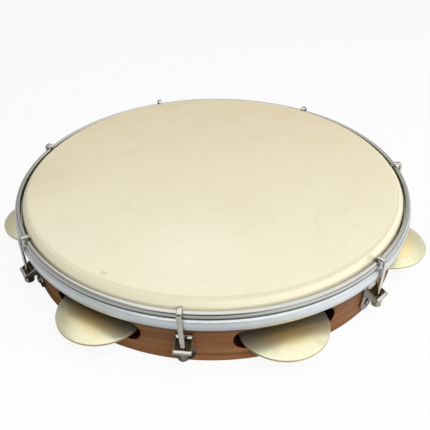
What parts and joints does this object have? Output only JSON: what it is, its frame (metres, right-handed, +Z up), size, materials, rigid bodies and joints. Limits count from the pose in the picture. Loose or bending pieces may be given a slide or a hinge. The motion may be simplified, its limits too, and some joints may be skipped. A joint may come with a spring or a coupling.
{
  "type": "pandeiro",
  "caption": "Hand-held wooden frame drum with a tunable skin head, claw hooks, metal hoops and pairs of brass jingles in slots round its shell.",
  "frame": {"origin": "centre of the head's playing face, on the drum's axis", "axes": "+Z up out of the head along the drum's axis; -Y is the side that faces the viewer in the reference picture; +X is that viewer's right"},
  "size_m": [0.2841, 0.2853, 0.0435],
  "materials": {
    "shell_wood": "clear satin varnish over a brown hardwood veneer",
    "head_skin": "cream skin, smooth and faintly mottled",
    "satin_hoop": "satin",
    "polished_hoop": "polished plate on steel",
    "hook_plate": "nickel plate on steel",
    "bracket_plate": "nickel plate on steel",
    "fastener_plate": "nickel plate on steel",
    "pin_steel": "plain steel",
    "jingle_brass": "pale polished brass",
    "damper_tin": "tinned sheet"
  },
  "bodies": {
    "drum": {"shell": "shell_wood", "head": "head_skin", "flesh_hoop": "satin_hoop", "counterhoop": "polished_hoop", "hook_bracket_1": "bracket_plate", "hook_bracket_2": "bracket_plate", "hook_bracket_3": "bracket_plate", "hook_bracket_4": "bracket_plate", "hook_bracket_5": "bracket_plate", "hook_bracket_6": "bracket_plate", "hook_bracket_7": "bracket_plate", "bracket_screw_1": "fastener_plate", "bracket_screw_2": "fastener_plate", "bracket_screw_3": "fastener_plate", "bracket_screw_4": "fastener_plate", "bracket_screw_5": "fastener_plate", "bracket_screw_6": "fastener_plate", "bracket_screw_7": "fastener_plate", "jingle_pin_1": "pin_steel", "jingle_pin_2": "pin_steel", "jingle_pin_3": "pin_steel", "jingle_pin_4": "pin_steel", "jingle_pin_5": "pin_steel", "jingle_pin_6": "pin_steel", "jingle_pin_7": "pin_steel"},
    "nut_1": {"tuning_nut_1": "fastener_plate"},
    "hook_1": {"claw_hook_1": "hook_plate"},
    "nut_2": {"tuning_nut_2": "fastener_plate"},
    "hook_2": {"claw_hook_2": "hook_plate"},
    "nut_3": {"tuning_nut_3": "fastener_plate"},
    "hook_3": {"claw_hook_3": "hook_plate"},
    "nut_4": {"tuning_nut_4": "fastener_plate"},
    "hook_4": {"claw_hook_4": "hook_plate"},
    "nut_5": {"tuning_nut_5": "fastener_plate"},
    "hook_5": {"claw_hook_5": "hook_plate"},
    "nut_6": {"tuning_nut_6": "fastener_plate"},
    "hook_6": {"claw_hook_6": "hook_plate"},
    "nut_7": {"tuning_nut_7": "fastener_plate"},
    "hook_7": {"claw_hook_7": "hook_plate"},
    "lower_jingle_1": {"jingle_lower_1": "jingle_brass", "damper_disc_1": "damper_tin"},
    "upper_jingle_1": {"jingle_upper_1": "jingle_brass"},
    "lower_jingle_2": {"jingle_lower_2": "jingle_brass", "damper_disc_2": "damper_tin"},
    "upper_jingle_2": {"jingle_upper_2": "jingle_brass"},
    "lower_jingle_3": {"jingle_lower_3": "jingle_brass", "damper_disc_3": "damper_tin"},
    "upper_jingle_3": {"jingle_upper_3": "jingle_brass"},
    "lower_jingle_4": {"jingle_lower_4": "jingle_brass", "damper_disc_4": "damper_tin"},
    "upper_jingle_4": {"jingle_upper_4": "jingle_brass"},
    "lower_jingle_5": {"jingle_lower_5": "jingle_brass", "damper_disc_5": "damper_tin"},
    "upper_jingle_5": {"jingle_upper_5": "jingle_brass"},
    "lower_jingle_6": {"jingle_lower_6": "jingle_brass", "damper_disc_6": "damper_tin"},
    "upper_jingle_6": {"jingle_upper_6": "jingle_brass"},
    "lower_jingle_7": {"jingle_lower_7": "jingle_brass", "damper_disc_7": "damper_tin"},
    "upper_jingle_7": {"jingle_upper_7": "jingle_brass"}
  },
  "joints": [
    {"name": "nut_turn_1", "type": "hinge", "parent": "drum", "child": "nut_1", "pos_m": [-0.01681, -0.13304, -0.0304], "axis": [0, 0, -1], "range_deg": [0, 1800]},
    {"name": "hook_lift_1", "type": "slide", "parent": "drum", "child": "hook_1", "axis": [0, 0, 1], "range_m": [0, 0.0025]},
    {"name": "nut_turn_2", "type": "hinge", "parent": "drum", "child": "nut_2", "pos_m": [0.09482, -0.09482, -0.0304], "axis": [0, 0, -1], "range_deg": [0, 1800]},
    {"name": "hook_lift_2", "type": "slide", "parent": "drum", "child": "hook_2", "axis": [0, 0, 1], "range_m": [0, 0.0025]},
    {"name": "nut_turn_3", "type": "hinge", "parent": "drum", "child": "nut_3", "pos_m": [0.13359, 0.01169, -0.0304], "axis": [0, 0, -1], "range_deg": [0, 1800]},
    {"name": "hook_lift_3", "type": "slide", "parent": "drum", "child": "hook_3", "axis": [0, 0, 1], "range_m": [0, 0.0025]},
    {"name": "nut_turn_4", "type": "hinge", "parent": "drum", "child": "nut_4", "pos_m": [0.07977, 0.1078, -0.0304], "axis": [0, 0, -1], "range_deg": [0, 1800]},
    {"name": "hook_lift_4", "type": "slide", "parent": "drum", "child": "hook_4", "axis": [0, 0, 1], "range_m": [0, 0.0025]},
    {"name": "nut_turn_5", "type": "hinge", "parent": "drum", "child": "nut_5", "pos_m": [-0.04587, 0.12601, -0.0304], "axis": [0, 0, -1], "range_deg": [0, 1800]},
    {"name": "hook_lift_5", "type": "slide", "parent": "drum", "child": "hook_5", "axis": [0, 0, 1], "range_m": [0, 0.0025]},
    {"name": "nut_turn_6", "type": "hinge", "parent": "drum", "child": "nut_6", "pos_m": [-0.12561, 0.04696, -0.0304], "axis": [0, 0, -1], "range_deg": [0, 1800]},
    {"name": "hook_lift_6", "type": "slide", "parent": "drum", "child": "hook_6", "axis": [0, 0, 1], "range_m": [0, 0.0025]},
    {"name": "nut_turn_7", "type": "hinge", "parent": "drum", "child": "nut_7", "pos_m": [-0.1147, -0.06947, -0.0304], "axis": [0, 0, -1], "range_deg": [0, 1800]},
    {"name": "hook_lift_7", "type": "slide", "parent": "drum", "child": "hook_7", "axis": [0, 0, 1], "range_m": [0, 0.0025]},
    {"name": "jingle_spin_1", "type": "hinge", "parent": "drum", "child": "lower_jingle_1", "pos_m": [0.03777, -0.11422, -0.0288], "axis": [0, 0, 1], "continuous": true},
    {"name": "jingle_clap_1", "type": "slide", "parent": "lower_jingle_1", "child": "upper_jingle_1", "axis": [0, 0, 1], "range_m": [0, 0.0027]},
    {"name": "jingle_spin_2", "type": "hinge", "parent": "drum", "child": "lower_jingle_2", "pos_m": [0.11238, -0.04292, -0.0288], "axis": [0, 0, 1], "continuous": true},
    {"name": "jingle_clap_2", "type": "slide", "parent": "lower_jingle_2", "child": "upper_jingle_2", "axis": [0, 0, 1], "range_m": [0, 0.0027]},
    {"name": "jingle_spin_3", "type": "hinge", "parent": "drum", "child": "lower_jingle_3", "pos_m": [0.10312, 0.06196, -0.0288], "axis": [0, 0, 1], "continuous": true},
    {"name": "jingle_clap_3", "type": "slide", "parent": "lower_jingle_3", "child": "upper_jingle_3", "axis": [0, 0, 1], "range_m": [0, 0.0027]},
    {"name": "jingle_spin_4", "type": "hinge", "parent": "drum", "child": "lower_jingle_4", "pos_m": [0.01591, 0.11924, -0.0288], "axis": [0, 0, 1], "continuous": true},
    {"name": "jingle_clap_4", "type": "slide", "parent": "lower_jingle_4", "child": "upper_jingle_4", "axis": [0, 0, 1], "range_m": [0, 0.0027]},
    {"name": "jingle_spin_5", "type": "hinge", "parent": "drum", "child": "lower_jingle_5", "pos_m": [-0.08327, 0.08683, -0.0288], "axis": [0, 0, 1], "continuous": true},
    {"name": "jingle_clap_5", "type": "slide", "parent": "lower_jingle_5", "child": "upper_jingle_5", "axis": [0, 0, 1], "range_m": [0, 0.0027]},
    {"name": "jingle_spin_6", "type": "hinge", "parent": "drum", "child": "lower_jingle_6", "pos_m": [-0.1198, -0.0109, -0.0288], "axis": [0, 0, 1], "continuous": true},
    {"name": "jingle_clap_6", "type": "slide", "parent": "lower_jingle_6", "child": "upper_jingle_6", "axis": [0, 0, 1], "range_m": [0, 0.0027]},
    {"name": "jingle_spin_7", "type": "hinge", "parent": "drum", "child": "lower_jingle_7", "pos_m": [-0.06446, -0.10157, -0.0288], "axis": [0, 0, 1], "continuous": true},
    {"name": "jingle_clap_7", "type": "slide", "parent": "lower_jingle_7", "child": "upper_jingle_7", "axis": [0, 0, 1], "range_m": [0, 0.0027]}
  ],
  "couplings": [
    {"joint": "nut_turn_1", "follows": "hook_lift_1", "rad_per_m": 12566},
    {"joint": "nut_turn_2", "follows": "hook_lift_2", "rad_per_m": 12566},
    {"joint": "nut_turn_3", "follows": "hook_lift_3", "rad_per_m": 12566},
    {"joint": "nut_turn_4", "follows": "hook_lift_4", "rad_per_m": 12566},
    {"joint": "nut_turn_5", "follows": "hook_lift_5", "rad_per_m": 12566},
    {"joint": "nut_turn_6", "follows": "hook_lift_6", "rad_per_m": 12566},
    {"joint": "nut_turn_7", "follows": "hook_lift_7", "rad_per_m": 12566}
  ]
}
